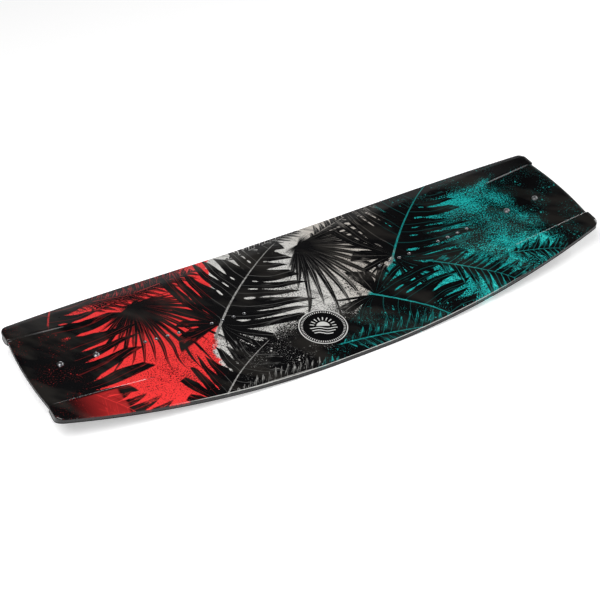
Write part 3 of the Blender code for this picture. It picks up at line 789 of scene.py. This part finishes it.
def monstera(place, seed, count, shape):
    """A split leaf, its midrib from 0 to 1 along x. count is fingers a side, shape the splits' width."""
    x, y = on_leaf(place)
    bent = y + x * (x - 1.0) * 0.16
    side = bent.op("SIGN")
    away = abs(bent)
    start = x - away * 0.4 - away * away * 0.6 + noise(place, 2.4, 1.0, 0.5) * 0.1 - 0.05
    behind = start.least(0.0)
    ahead = start.most(0.0)
    along = (behind * behind + away * away * 1.25) ** 0.5
    turn = (0.0 - behind).op("ARCTAN2", away * 1.118)
    steps = ahead * count - turn * (count * 0.42) + side * 0.21 + seed
    ladder = steps + (steps * 2.3).op("SINE") * 0.16
    number = ladder.op("FLOOR") + side * 31.0
    across = ladder.op("FRACT") - 0.5
    luck = chance(number, seed)
    outline = (1.0 - ahead).most(0.001) ** 0.75 * 0.68 * (1.0 - turn * 0.2)
    share = along / outline
    end = 1.06 - luck * 0.24 - (across + 0.5) * 0.34 - (across - 0.12).most(0.0) * 0.6
    split_width = share.fade(0.32, 0.44) * shape * (0.6 + luck * 0.8) + share.fade(0.4, 1.1) * 0.08
    cover = (end - share).fade(-0.008, 0.012) * (0.53 - abs(across) - split_width).fade(-0.005, 0.035)
    hole_luck = chance((ladder + 0.5).op("FLOOR"), seed + side)
    hole_x = (0.5 - abs(across)) / (hole_luck * 0.07 + 0.03)
    hole_y = (share - 0.19 - hole_luck * 0.04) / (hole_luck * 0.05 + 0.035)
    hole = (hole_x * hole_x + hole_y * hole_y).drop(0.7, 1.1) * start.fade(-0.05, 0.05)
    hole = hole * hole_luck.fade(0.3, 0.36)
    cover = cover * (1.0 - hole * start.drop(0.72, 0.82)) * turn.drop(1.12, 1.16)
    stem = (0.0095 - x * 0.006 - away).fade(0.0, 0.003) * x.drop(0.95, 1.0) * x.fade(-0.22, -0.18)
    grain = noise(vector_of(ladder * 2.6, along * 2.2, seed), 2.2, 4.0, 0.72)
    ribs = abs(across + 0.05).drop(0.0, 0.035)
    light = grain.fade(0.54, 0.76) * share.fade(0.25, 0.8) * 0.5 + ribs * 0.12 + stem * (grain - 0.28) * 2.0
    return cover.most(stem), light.least(1.0)


def frond(place, seed, count, shape):
    """A feather leaf, its stalk from 0 to 1 along x. count is leaflets a side, shape their length."""
    x, y = on_leaf(place)
    bent = y + x * x * 0.1
    away, side = abs(bent), bent.op("SIGN")
    start = x - away * 0.75 + away * away * 0.6
    ladder = start * count + side * 0.23
    number = ladder.op("FLOOR") + side * 17.0
    across = abs(ladder.op("FRACT") - 0.5)
    luck = chance(number, seed)
    inside = start.most(0.0) * (1.0 - start).most(0.0)
    reach = (inside * 4.0) ** 0.6 * shape * (1.0 - luck * 0.3)
    share = away / (reach + 0.001)
    half = (1.0 - share.most(0.0) ** 1.6) * 0.5
    cover = (half - across).fade(-0.02, 0.05)
    stem = (0.009 - x * 0.006 - away).fade(0.0, 0.004) * x.fade(-0.05, 0.0) * x.drop(0.98, 1.0)
    grain = noise(vector_of(ladder * 2.0, away * 5.0, seed), 2.6, 3.0, 0.7)
    veins = across.drop(0.0, 0.05) * 0.3
    light = grain.fade(0.48, 0.68) * share.fade(0.1, 0.6) * 0.6 + stem * (grain - 0.2) * 1.3 + veins
    return cover.most(stem), light


LEAF_FORMULAS = {"fan_palm": fan_palm, "monstera": monstera, "frond": frond}

# The deck's leaves from the back to the front: kind, place, angle, size, count, shape
DECK_LEAVES = [
    ("frond", (-0.46, 0.128), 16, 0.27, 16, 0.2),
    ("frond", (0.085, 0.158), 19, 0.24, 13, 0.26),
    ("frond", (-0.62, 0.172), 1, 0.28, 18, 0.15),
    ("frond", (-0.12, 0.178), 12, 0.2, 14, 0.2),
    ("fan_palm", (-0.372, 0.122), -72, 0.295, 7.4, 1.4),
    ("fan_palm", (0.047, 0.152), -60, 0.35, 6.8, 1.3),
    ("monstera", (-0.625, -0.07), 66, 0.38, 8.0, 0.13),
    ("monstera", (-0.228, -0.009), 39, 0.31, 8.4, 0.085),
    ("monstera", (0.212, 0.014), 40, 0.305, 8.4, 0.09),
    ("monstera", (0.11, -0.075), -52, 0.275, 8.0, 0.08),
    ("frond", (0.272, -0.046), -43, 0.235, 8, 0.36),
    ("frond", (-0.555, -0.112), -47, 0.19, 8, 0.4),
    ("monstera", (-0.33, -0.215), 35, 0.21, 7.0, 0.1),
    ("frond", (-0.03, -0.172), -6, 0.26, 15, 0.2),
    ("frond", (0.43, -0.118), -20, 0.16, 7, 0.3),
    ("frond", (-0.31, -0.204), 4, 0.27, 19, 0.12),
]

# Where the ground is inked over: centre, reach along and across, and strength
INK_PATCHES = [
    ((-0.76, 0.02), (0.25, 0.48), 9.0),
    ((0.745, 0.02), (0.265, 0.48), 6.5),
    ((-0.06, -0.175), (0.28, 0.135), 4.5),
    ((0.2, -0.21), (0.16, 0.095), 3.0),
    ((0.5, 0.205), (0.32, 0.12), 4.5),
    ((-0.4, 0.215), (0.24, 0.095), 3.6),
    ((-0.35, -0.1), (0.18, 0.1), 0.62),
    ((-0.19, -0.075), (0.11, 0.08), 1.15),
    ((-0.04, 0.04), (0.17, 0.13), 0.48),
    ((0.13, -0.02), (0.12, 0.13), 0.85),
    ((0.43, -0.02), (0.38, 0.27), 1.35),
    ((0.48, -0.19), (0.2, 0.08), 1.6),
]

RED, DEEP_RED = (0.95, 0.045, 0.045), (0.55, 0.018, 0.022)
TEAL, BRIGHT_TEAL = (0.018, 0.52, 0.5), (0.05, 0.8, 0.74)
PAPER, WARM_PAPER = (0.74, 0.73, 0.7), (0.7, 0.65, 0.59)
INK, CHARCOAL = (0.0025, 0.0025, 0.003), (0.017, 0.0155, 0.014)
WEAVE, TURNING = 0.0042, 9000.0
EMBLEM_PLACE, EMBLEM_RADIUS = (-0.04, -0.11), 0.051
BASE_LEAVES = [
    ("frond", (-0.6, -0.1), 12, 0.52, 17, 0.2),
    ("frond", (0.6, 0.1), 192, 0.52, 17, 0.2),
    ("monstera", (-0.36, 0.07), -22, 0.33, 7.5, 0.19),
    ("monstera", (0.36, -0.07), 158, 0.33, 7.5, 0.19),
    ("fan_palm", (0.0, 0.15), -90, 0.3, 7.2, 1.25),
    ("fan_palm", (0.0, -0.15), 90, 0.22, 7.2, 1.0),
]


def object_place(tree):
    return new_value(tree, "TexCoord", {}, "Object")


def upward(tree):
    """How far the surface faces up: 1 on the flat, 0 on a wall and -1 underneath."""
    return split(new_value(tree, "NewGeometry", {}, "Normal"))[2]


def grey(level):
    return (level, level, level)


def new_material(name, specular=0.5):
    """A material, and the object's coordinates in its nodes."""
    made = bpy.data.materials.new(name)
    made.use_nodes = True
    shader_of(made).inputs["Specular IOR Level"].default_value = specular
    return made, object_place(made.node_tree)


def shader_of(material):
    return material.node_tree.nodes["Principled BSDF"]


def finished(made, colour, roughness, height, distance, slots=("Normal",)):
    """The material with its colour, roughness and bump in place."""
    shader = shader_of(made)
    feed(shader.inputs["Base Color"], colour)
    feed(shader.inputs["Roughness"], roughness)
    bump = new_node(made.node_tree, "Bump", {"Strength": 1.0, "Distance": distance, "Height": height})
    for slot in slots:
        feed(shader.inputs[slot], bump.outputs[0])
    return made


def zone_colours(x, y, flat, ragged):
    """Red towards the tail, paper in the middle and teal towards the nose, each brushed unevenly."""
    wobble = (ragged - 0.5) * 0.085
    brushed = streaks(flat, (9.0, 70.0, 1.0), angle=-55)
    red = (brushed.fade(0.56, 0.74) * 0.55).tint(RED, DEEP_RED)
    paper = x.fade(0.0, 0.12).tint(PAPER, WARM_PAPER)
    paper = (brushed.fade(0.5, 0.68) * 0.6).tint(paper, (0.12, 0.115, 0.11))
    bright = brushed.fade(0.5, 0.64) * (0.02 - y).fade(0.0, 0.1)
    teal = bright.tint(TEAL, BRIGHT_TEAL)
    to_paper = (x - y * 0.42 + wobble + 0.236).fade(-0.003, 0.004)
    to_teal = (x - y * 0.36 - y.least(0.0) * 1.2 + wobble - 0.205).fade(-0.008, 0.01)
    return to_teal.tint(to_paper.tint(red, paper), teal)


def ink_density(flat, ragged):
    """The strength of the inked patches at a point: above 1 is solid, below 1 breaks up into grain."""
    density = None
    here_x, here_y, _ = split(flat)
    for (x, y), (along, across), strength in INK_PATCHES:
        off_x, off_y = (here_x - x) / along, (here_y - y) / across
        away = (off_x * off_x + off_y * off_y) ** 0.5
        patch = ((1.0 - away) * strength).most(0.0)
        density = density.most(patch) if density else patch
    return density + (ragged - 0.5) * 2.4 * density.fade(0.0, 0.5)


def emblem(flat):
    """A plain round badge: a ring, a ring of ticks, a half sun and three waves."""
    x, y, _ = split(placed(flat, EMBLEM_PLACE, -27, EMBLEM_RADIUS))
    radius = (x * x + y * y) ** 0.5
    ring = abs(radius - 1.0).drop(0.016, 0.03)
    turn = y.op("ARCTAN2", x) * (30 / math.pi)
    tick = abs(turn.op("FRACT") - 0.5).drop(0.16, 0.24)
    ticks = abs(radius - 0.885).drop(0.035, 0.05) * tick
    sun_radius = (x * x + (y - 0.02) * (y - 0.02)) ** 0.5
    sun = sun_radius.drop(0.27, 0.29) * y.fade(0.04, 0.06)
    ray_turn = (y - 0.02).op("ARCTAN2", x) * (9 / math.pi)
    ray = abs(ray_turn.op("FRACT") - 0.5).drop(0.1, 0.18) * y.fade(0.04, 0.06)
    rays = ray * sun_radius.fade(0.36, 0.38) * sun_radius.drop(0.54, 0.56)
    wave = y + (x * 9.0).op("SINE") * 0.035
    stripe = (wave * 6.6).op("FRACT") - 0.5
    waves = abs(stripe).drop(0.13, 0.2) * wave.drop(-0.06, -0.04) * wave.fade(-0.5, -0.48)
    waves = waves * (abs(x) + abs(y) * 0.6).drop(0.6, 0.62)
    inside = radius.drop(0.97, 1.0)
    return ring.most(ticks).most(sun).most(rays).most(waves), inside


def print_leaves(flat, ink, leaves, groups, coloured=False):
    """Lays each leaf over the ink below it, as black leaves or as coloured ones on black."""
    for number, (kind, spot, angle, size, count, shape) in enumerate(leaves):
        numbers = {"Place": placed(flat, spot, angle, size), "Seed": 3.7 * number + 1.0, "Count": count,
                   "Shape": shape}
        leaf = new_node(flat.tree, "Group", numbers, node_tree=groups[kind])
        cover, light = (Value(flat.tree, output) for output in leaf.outputs)
        ink = ink.toward(light * 0.9 + 0.1 if coloured else 1.0 - light, cover)
    return ink


def splatter(flat, grain):
    """Sprayed dots and fine grain that let the ground through the ink."""
    dots = cells(flat, 150.0)
    size = cells(flat, 150.0, output="Color")
    specks = (dots / (size ** 3.0 * 0.42 + 0.001)).drop(0.8, 1.0)
    scatter = noise(flat, 19.0, 2.0).fade(0.42, 0.6)
    return (specks * scatter).most((grain - 0.6).fade(0.0, 0.04) * scatter * 0.7)


def clear_coated(made, place, up, colour):
    """A hard glossy finish with orange peel and fine scratches, and a thinner coat over the edges."""
    shader = shader_of(made)
    shader.inputs["Coat Roughness"].default_value = 0.04
    shader.inputs["Coat IOR"].default_value = 1.5
    feed(shader.inputs["Coat Weight"], up.fade(0.1, 0.8) * 0.8 + 0.2)
    wear = noise(place, 14.0, 5.0, 0.65) * 0.2 + 0.28
    scratches = streaks(place, (8.0, 900.0, 8.0), 2.0, 0.5, angle=7).fade(0.72, 0.8)
    peel = noise(place, 210.0, 2.0, 0.5) * 0.3 - scratches * 0.4
    return finished(made, colour, wear, peel, 0.00006, ("Normal", "Coat Normal"))


def lightened_edge_patches(place, up, colour):
    """Lighter patches where the surface turns over an edge."""
    rub = noise(place, 95.0, 4.0, 0.7).fade(0.6, 0.68)
    edge = up.fade(0.25, 0.4) * up.drop(0.8, 0.92)
    return (edge * rub * 0.3).tint(colour, grey(0.16))


def deck_material(groups):
    """The print, ink over brushed colour. The order of its nodes keeps few values waiting."""
    made, place = new_material("printed_topsheet", 0.1)
    x, y, _ = split(place)
    flat = vector_of(x, y)
    ragged = noise(flat, 17.0)
    grain = noise(flat, 300.0, 3.0, 0.85)
    density = ink_density(flat, ragged)
    ink = (density + (grain - 0.5) * 7.0 - 0.7).fade(0.0, 0.16)
    solid = density.fade(0.9, 1.7)
    ink = print_leaves(flat, ink, DECK_LEAVES, groups)
    ink = ink.most(solid * abs(x).fade(0.45, 0.54))
    ink = ink * (1.0 - splatter(flat, grain) * solid * (x.fade(-0.65, -0.3) * 0.6 + 0.25))
    glow = x.fade(-0.62, -0.525) * (x + ragged * 0.04).drop(-0.494, -0.486)
    glow = glow * (0.0 - y).fade(0.108, 0.112)
    ink = ink * (1.0 - glow * 0.4)
    mark, badge = emblem(flat)
    ink = ink.toward(1.0, badge)
    tone = streaks(flat, (5.0, 12.0, 1.0), angle=-50).fade(0.46, 0.62)
    dark = (tone * (1.0 - badge)).tint(INK, CHARCOAL)
    colour = ink.tint(zone_colours(x, y, flat, ragged), dark)
    colour = mark.tint(colour, (0.7, 0.7, 0.68))
    up = upward(flat.tree)
    # Painted highlight: a thin pale line along the rounded top edge of the rails through the middle of the
    # board.
    painted_edge_highlight = up.fade(0.48, 0.58) * up.drop(0.86, 0.93) * abs(x).drop(0.3, 0.46)
    colour = (painted_edge_highlight * 0.85).tint(colour, (0.66, 0.66, 0.64))
    # Painted shade: the steep side walls, where the print wraps down, are darkened nearly to black with a
    # little grain.
    side = up.drop(0.02, 0.3) * (grain * 0.4 + 0.75)
    colour = side.least(1.0).tint(colour, (0.03, 0.03, 0.031))
    return clear_coated(made, place, up, lightened_edge_patches(place, up, colour))


def base_material(groups):
    """Glossy base sheet: the same zones as leaves on black, with the fine lines of a ground base."""
    made, place = new_material("printed_base", 0.3)
    x, y, _ = split(place)
    flat = vector_of(x, y)
    ragged = noise(flat, 17.0)
    grain = noise(flat, 300.0, 3.0, 0.85)
    ink = print_leaves(flat, Value(flat.tree, 1.0), BASE_LEAVES, groups, coloured=True)
    ink = ink.most(((grain - 0.5) * 2.4 + abs(x).fade(0.3, 0.62) * 1.2 - 0.1).fade(0.0, 0.3))
    ground = zone_colours(x, y, flat, ragged)
    colour = ink.tint(ground, ragged.tint((0.01, 0.01, 0.011), (0.018, 0.018, 0.019)))
    scratch = streaks(place, (5.0, 700.0, 5.0), angle=2)
    rub = scratch.fade(0.68, 0.76)
    colour = (rub * 0.25).tint(colour, grey(0.25))
    return finished(made, colour, ragged * 0.12 + 0.16 + rub * 0.2, scratch * 0.4 - rub * 0.6, 0.00008)


# ---- materials ----

def glass_material():
    """Cured woven glass: bundles over and under each other, in clear greenish resin."""
    made, place = new_material("woven_glass")
    x, y, _ = split(place)
    warp, weft = (x + y) * (1 / WEAVE), (x - y) * (1 / WEAVE)
    over = ((warp.op("FLOOR") + weft.op("FLOOR")) * 0.5).op("FRACT") * 2.0
    across = weft.op("FRACT").toward(warp.op("FRACT"), over)
    bundle = 1.0 - abs(across - 0.5) * 2.0
    threads = streaks(place, (900.0, 60.0, 60.0), 2.0, 0.5, angle=45)
    cloud = noise(place, 9.0, 3.0, 0.5)
    weave = (bundle.fade(0.0, 0.6) * 0.7 + threads * 0.3).tint((0.3, 0.36, 0.28), (0.66, 0.72, 0.62))
    colour = (cloud * 0.35).tint(weave, (0.46, 0.47, 0.33))
    return finished(made, colour, threads * 0.2 + 0.28, bundle.fade(0.0, 0.7) + threads * 0.2, 0.00015)


def foam_material():
    """Closed-cell foam: small round cells with thin walls and a dusty cut surface."""
    made, place = new_material("closed_cell_foam", 0.2)
    wall = cells(place, 700.0, feature="DISTANCE_TO_EDGE")
    cloud = noise(place, 22.0, 4.0, 0.5)
    colour = wall.fade(0.0, 0.25).tint((0.9, 0.86, 0.7), (0.72, 0.66, 0.47))
    colour = (cloud * 0.4).tint(colour, (0.8, 0.72, 0.5))
    return finished(made, colour, cloud * 0.15 + 0.8, wall.drop(0.0, 0.3), 0.00025)


def wood_material():
    """A sawn softwood stringer: growth rings seen from the side, fibres along the length and pores."""
    made, place = new_material("sawn_stringer", 0.3)
    bend = streaks(place, (3.0, 30.0, 30.0), 3.0, 0.5)
    _, y, z = split(place)
    rings = ((y * 0.6 + z) * 420.0 + bend * 6.0).op("SINE") * 0.5 + 0.5
    fibre = streaks(place, (14.0, 900.0, 900.0), 3.0, 0.7)
    pores = fibre.fade(0.62, 0.72)
    colour = (rings ** 2.0 * 0.8).tint((0.7, 0.52, 0.31), (0.47, 0.3, 0.15))
    colour = (pores * 0.5).tint(colour, (0.28, 0.17, 0.08))
    return finished(made, colour, fibre * 0.2 + 0.55, fibre * 0.6 - pores * 0.5 + rings * 0.3, 0.0002)


def moulded_material(name, colour, rubbed, roughness, pebble, flow):
    """Moulded black plastic: fine pebble, faint flow lines and rubbed edges."""
    made, place = new_material(name, 0.3)
    up = upward(place.tree)
    speckle = noise(place, pebble, 3.0, 0.7)
    lines = streaks(place, (6.0, flow, flow))
    cloud = noise(place, 16.0, 4.0)
    body = (cloud * 0.5 + lines * 0.3).tint(colour, rubbed)
    rub = noise(place, 75.0, 4.0, 0.7).fade(0.58, 0.7)
    turned = abs(up).fade(0.15, 0.4) * abs(up).drop(0.75, 0.95)
    body = (rub * turned * 0.35).tint(body, grey(0.14))
    return finished(made, body, cloud * 0.14 + roughness + rub * 0.1, speckle * 0.6 + lines * 0.4, 0.00007)


def metal_material(name, colour, shade, roughness, depth):
    """Turned metal: fine rings round its own axis, blotchy tone, and painted shade down its bore past a
    depth.
    """
    made, place = new_material(name)
    shader_of(made).inputs["Metallic"].default_value = 1.0
    x, y, z = split(place)
    radius = (x * x + y * y) ** 0.5
    turned = noise(vector_of(radius * TURNING, z * TURNING), 1.0)
    cloud = noise(place, 260.0)
    body = (turned * 0.5 + cloud * 0.4).tint(colour, shade)
    # Painted shade: nearly black inside the bore below the given depth.
    painted_bore_shade = radius.drop(0.0028, 0.003) * z.drop(-depth - 0.0004, -depth)
    body = (painted_bore_shade * 0.93).tint(body, grey(0.01))
    return finished(made, body, turned * 0.16 + roughness + cloud * 0.08, turned, 0.00003)


def make_materials():
    """The materials. Those of this file's own pieces go by their slots of the record."""
    groups = {name: leaf_group(name, build) for name, build in LEAF_FORMULAS.items()}
    black, satin = (0.006, 0.006, 0.0065), (0.014, 0.014, 0.015)
    plate, worn_plate = (0.02, 0.02, 0.022), (0.04, 0.04, 0.043)
    steel, dark_steel = (0.62, 0.62, 0.64), (0.34, 0.34, 0.36)
    return {
        "printed_top": deck_material(groups),
        "base_plastic": base_material(groups),
        "glass_fibre": glass_material(),
        "foam": foam_material(),
        "wood": wood_material(),
        "edge_plastic": moulded_material("moulded_edge", black, satin, 0.3, 900.0, 500.0),
        "fin_plastic": moulded_material("moulded_fin", black, satin, 0.26, 1400.0, 160.0),
        "plate": moulded_material("moulded_plate", plate, worn_plate, 0.5, 700.0, 90.0),
        "stainless": metal_material("turned_stainless", steel, dark_steel, 0.24, 0.0007),
        "brass": metal_material("turned_brass", (0.78, 0.58, 0.26), (0.45, 0.31, 0.12), 0.26, 1.0),
    }


# The frame's own pieces that stay in sight, and the finish that each one gets
KEPT_NODES = {
    "foam": ["foam_core"],
    "wood": ["stringer_left", "stringer_right"],
    "plate": ["insert_plate_nose", "insert_plate_tail"]
             + [f"fin_ferrule_{end}_{place}" for end in ENDS for place in ("inner", "outer")],
    "brass": [f"fin_insert_{end}_{place}" for end in ENDS for place in ("inner", "outer")],
}


def finish_kept_nodes(materials):
    for finish, names in KEPT_NODES.items():
        for name in names:
            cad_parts[name].material_slots[0].material = materials[finish]


# ---- stage ----

CAMERA_AIM = Vector((-0.0463, -0.0233, 0.03))
CAMERA_DISTANCE = 3.2944
CAMERA_YAW, CAMERA_PITCH, CAMERA_ROLL = 0.549, 0.714, 0.039
CAMERA_LENS = 93.35
FLOOR_GLOW, FLOOR_HALF, FLOOR_DROP = 0.48, 20, 0.0005
HORIZON, CEILING, WALLS, BACKDROP, BANNER = (0.04, 0.36), 0.05, 0.35, 1.0, 1.4
LIGHTS = {      # size, place, aim and power
    "key_light": ((1.8, 1.8), (-1.26, -0.8, 2.4), (0, 0, 0), 77),
    "front_panel": ((1.3, 0.6), (1.8, -3.03, 2.78), (0, 0, 0), 10),
    "side_light": ((1.2, 1.2), (2.6, 0.3, 1.2), (0.2, 0, 0), 26),
    "rim_strip": ((3.0, 0.3), (1.9, 2.9, 0.25), (0, 0, 0.1), 20),
}


def make_camera():
    data = bpy.data.cameras.new("camera")
    data.lens = CAMERA_LENS
    data.sensor_width = 36.0
    data.clip_end = 50.0
    camera = new_object("camera", data)
    turn = (Matrix.Rotation(-CAMERA_YAW, 4, "Z") @ Matrix.Rotation(math.pi / 2 - CAMERA_PITCH, 4, "X")
            @ Matrix.Rotation(CAMERA_ROLL, 4, "Z"))
    camera.matrix_world = Matrix.Translation(CAMERA_AIM) @ turn @ Matrix.Translation((0, 0, CAMERA_DISTANCE))
    bpy.context.scene.camera = camera


def area_light(name, size, place, aim, power):
    data = bpy.data.lights.new(name, "AREA")
    data.shape = "RECTANGLE"
    data.size, data.size_y = size
    data.energy = power
    light = new_object(name, data)
    light.location = place
    light.rotation_mode = "QUATERNION"
    light.rotation_quaternion = (Vector(aim) - Vector(place)).to_track_quat("-Z", "Y")


def floor_material():
    """Pale matt paint that glows faintly, and is clear from below to show the base."""
    made, place = new_material("pale_floor", 0.0)
    tree, shader = made.node_tree, shader_of(made)
    feed(shader.inputs["Base Color"], noise(place, 0.7, 2.0, 0.5).tint(grey(0.86), grey(0.9)))
    shader.inputs["Roughness"].default_value = 0.8
    shader.inputs["Emission Color"].default_value = (1.0, 1.0, 1.0, 1.0)
    shader.inputs["Emission Strength"].default_value = FLOOR_GLOW
    below = new_value(tree, "NewGeometry", {}, "Backfacing")
    clear = new_value(tree, "BsdfTransparent", {})
    pick = new_value(tree, "MixShader", {0: below, 1: shader.outputs[0], 2: clear})
    feed(tree.nodes["Material Output"].inputs["Surface"], pick)
    return made


def studio_world():
    """A bright backdrop and a banner behind the board, a dark ceiling and dim walls elsewhere."""
    world = bpy.data.worlds.new("studio")
    world.use_nodes = True
    tree = world.node_tree
    x, y, z = split(new_value(tree, "TexCoord", {}, "Generated"))
    low = z.drop(*HORIZON)
    level = low * (y.fade(0.1, 0.8) * (BACKDROP - WALLS) + WALLS) + CEILING
    banner = x.fade(0.14, 0.26) * x.drop(0.38, 0.5) * y.fade(0.5, 0.75)
    level = level + banner * z.drop(0.42, 0.64) * BANNER
    feed(tree.nodes["Background"].inputs["Strength"], level)
    return world


def make_stage():
    mesh = bpy.data.meshes.new("floor")
    corners = [(x * FLOOR_HALF, y * FLOOR_HALF, 0) for x, y in ((-1, -1), (1, -1), (1, 1), (-1, 1))]
    mesh.from_pydata(corners, [], [(0, 1, 2, 3)])
    mesh.materials.append(floor_material())
    floor = new_object("floor", mesh)
    floor.location.z = -FLOOR_DROP
    bpy.context.scene.world = studio_world()
    for name, numbers in LIGHTS.items():
        area_light(name, *numbers)
    bpy.context.scene.view_settings.view_transform = "Standard"


def main():
    materials = make_materials()
    for make in (make_skins, make_layers, make_inserts, make_fin_hardware, make_fins, finish_kept_nodes):
        make(materials)
    make_stage()
    make_camera()


main()
